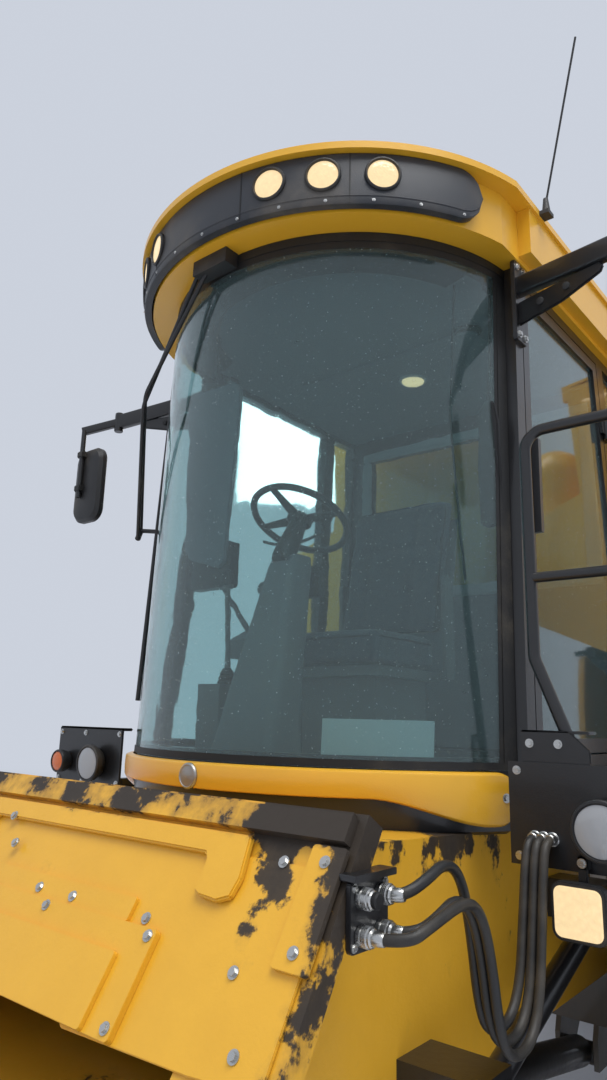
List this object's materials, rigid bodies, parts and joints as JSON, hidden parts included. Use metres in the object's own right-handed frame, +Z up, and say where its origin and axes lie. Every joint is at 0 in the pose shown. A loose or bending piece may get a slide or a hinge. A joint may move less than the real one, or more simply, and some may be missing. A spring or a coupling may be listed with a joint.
{
  "type": "combine harvester",
  "caption": "Self-propelled grain combine with curved glass cab, lamp band, feeder house, grain tank, swinging unloading auger, side shields and straw chopper; no header fitted.",
  "frame": {"origin": "bottom centre of the box round the whole machine as it stands with the feeder house raised", "axes": "+Z up, the front points to -Y, the machine's left side with the cab door and ladder is +X"},
  "size_m": [3.27, 8.6812, 4.5612],
  "materials": {
    "yellow_paint": "satin paint, ochre yellow, dusty and scratched",
    "feeder_paint": "satin yellow paint, worn to dark steel along edges",
    "dark_paint": "satin black paint",
    "frame_paint": "satin dark grey paint",
    "rim_paint": "satin light grey paint",
    "body_sheet": "galvanised sheet",
    "steel": "bare worn steel",
    "chrome": "polished rod",
    "zinc": "plated couplers",
    "iron": "painted cast iron",
    "tyre": "matt tread rubber",
    "rubber": "matt rubber hose",
    "black_plastic": "grained black plastic",
    "grey_plastic": "grained dark grey plastic",
    "band_plastic": "charcoal moulded plastic",
    "lamp": "clear lamp lens",
    "glass": "tinted green glass",
    "cloth": "woven dark cloth"
  },
  "bodies": {
    "machine": {"front_axle": "frame_paint", "rear_axle": "frame_paint", "chassis_frame": "yellow_paint", "threshing_body": "body_sheet", "cleaning_shoe": "body_sheet", "side_drives": "iron", "cab_frame": "dark_paint", "windshield": "glass", "front_trim": "yellow_paint", "cab_windows": "glass", "cab_roof": "yellow_paint", "roof_band": "band_plastic", "roof_lamps": "lamp", "antenna": "black_plastic", "wiper": "black_plastic", "seat_pedestal": "grey_plastic", "seat_cushions": "cloth", "steering_column": "grey_plastic", "console": "grey_plastic", "mirrors": "black_plastic", "platform": "yellow_paint", "handrails": "dark_paint", "front_lamps": "lamp", "grain_tank": "yellow_paint", "tank_augers": "steel", "deck_frame": "frame_paint", "engine": "iron", "engine_cover": "yellow_paint", "rear_hood": "yellow_paint", "straw_chopper": "frame_paint", "header_hoses": "rubber"},
    "feeder": {"feeder_housing": "feeder_paint", "feeder_face": "feeder_paint", "feeder_chain": "steel", "feeder_driveline": "dark_paint", "couplers": "zinc"},
    "lift_barrel_pair": {"lift_barrels": "dark_paint"},
    "lift_rod_pair": {"lift_rods": "chrome"},
    "wheel_front_left": {"tyre_front_left": "tyre", "rim_front_left": "rim_paint"},
    "wheel_front_right": {"tyre_front_right": "tyre", "rim_front_right": "rim_paint"},
    "wheel_rear_left": {"tyre_rear_left": "tyre", "rim_rear_left": "rim_paint"},
    "wheel_rear_right": {"tyre_rear_right": "tyre", "rim_rear_right": "rim_paint"},
    "steering_left": {"knuckle_left": "frame_paint"},
    "steering_right": {"knuckle_right": "frame_paint"},
    "track_rod": {"tie_rod": "frame_paint"},
    "door": {"cab_door": "dark_paint", "door_glass": "glass"},
    "ladder_body": {"ladder": "dark_paint"},
    "auger": {"unloading_auger": "yellow_paint"},
    "cover_left": {"tank_cover_left": "yellow_paint"},
    "cover_right": {"tank_cover_right": "yellow_paint"},
    "shield_left": {"side_shield_left": "yellow_paint"},
    "shield_right": {"side_shield_right": "yellow_paint"},
    "screen": {"rotary_screen": "grey_plastic"},
    "rotor": {"chopper_rotor": "steel"}
  },
  "joints": [
    {"name": "feeder_lift", "type": "hinge", "parent": "machine", "child": "feeder", "pos_m": [0, -2.14941, 1.43], "axis": [1, 0, 0], "range_deg": [0, 28]},
    {"name": "lift_barrel_swing", "type": "hinge", "parent": "machine", "child": "lift_barrel_pair", "pos_m": [0, -1.99941, 0.82], "axis": [1, 0, 0], "range_deg": [0, 25]},
    {"name": "lift_rod_slide", "type": "slide", "parent": "lift_barrel_pair", "child": "lift_rod_pair", "axis": [0, -0.9838, 0.1792], "range_m": [-0.299, 0]},
    {"name": "wheel_front_left_spin", "type": "hinge", "parent": "machine", "child": "wheel_front_left", "pos_m": [1.31, -1.89941, 0.895], "axis": [1, 0, 0], "continuous": true},
    {"name": "wheel_front_right_spin", "type": "hinge", "parent": "machine", "child": "wheel_front_right", "pos_m": [-1.31, -1.89941, 0.895], "axis": [1, 0, 0], "continuous": true},
    {"name": "steer_left", "type": "hinge", "parent": "machine", "child": "steering_left", "pos_m": [1, 1.85059, 0.655], "axis": [0, 0, 1], "range_deg": [-40, 40]},
    {"name": "steer_right", "type": "hinge", "parent": "machine", "child": "steering_right", "pos_m": [-1, 1.85059, 0.655], "axis": [0, 0, 1], "range_deg": [-40, 40]},
    {"name": "track_rod_shift", "type": "slide", "parent": "machine", "child": "track_rod", "axis": [1, 0, 0], "range_m": [-0.1425, 0.1425]},
    {"name": "wheel_rear_left_spin", "type": "hinge", "parent": "steering_left", "child": "wheel_rear_left", "pos_m": [1.33, 1.85059, 0.655], "axis": [1, 0, 0], "continuous": true},
    {"name": "wheel_rear_right_spin", "type": "hinge", "parent": "steering_right", "child": "wheel_rear_right", "pos_m": [-1.33, 1.85059, 0.655], "axis": [1, 0, 0], "continuous": true},
    {"name": "cab_door_swing", "type": "hinge", "parent": "machine", "child": "door", "pos_m": [0.87399, -2.04741, 1.92047], "axis": [-0.0336, 0, 0.9994], "range_deg": [0, 75]},
    {"name": "ladder_swing", "type": "hinge", "parent": "machine", "child": "ladder_body", "pos_m": [1.514, -3.20741, 1.23], "axis": [0, 0, 1], "range_deg": [0, 90]},
    {"name": "unloading_auger_swing", "type": "hinge", "parent": "machine", "child": "auger", "pos_m": [1.29, -1.27941, 3.25], "axis": [0, 0, -1], "range_deg": [0, 105]},
    {"name": "tank_cover_left_open", "type": "hinge", "parent": "machine", "child": "cover_left", "pos_m": [1.118, -0.32441, 3.864], "axis": [0, 1, 0], "range_deg": [0, 105]},
    {"name": "tank_cover_right_open", "type": "hinge", "parent": "machine", "child": "cover_right", "pos_m": [-1.118, -0.32441, 3.864], "axis": [0, -1, 0], "range_deg": [0, 105]},
    {"name": "side_shield_left_lift", "type": "hinge", "parent": "machine", "child": "shield_left", "pos_m": [1.412, 0.92059, 2.5], "axis": [0, -1, 0], "range_deg": [0, 80]},
    {"name": "side_shield_right_lift", "type": "hinge", "parent": "machine", "child": "shield_right", "pos_m": [-1.412, 0.92059, 2.5], "axis": [0, 1, 0], "range_deg": [0, 80]},
    {"name": "rotary_screen_spin", "type": "hinge", "parent": "machine", "child": "screen", "pos_m": [-1.08, 1.62059, 2.84], "axis": [1, 0, 0], "continuous": true},
    {"name": "chopper_rotor_spin", "type": "hinge", "parent": "machine", "child": "rotor", "pos_m": [0, 3.28059, 1.19], "axis": [1, 0, 0], "continuous": true}
  ],
  "couplings": [
    {"joint": "lift_barrel_swing", "follows": "feeder_lift", "ratio": 0.8864},
    {"joint": "lift_rod_slide", "follows": "feeder_lift", "m_per_rad": -0.6096},
    {"joint": "steer_right", "follows": "steer_left", "ratio": 1},
    {"joint": "track_rod_shift", "follows": "steer_left", "m_per_rad": -0.2026}
  ]
}
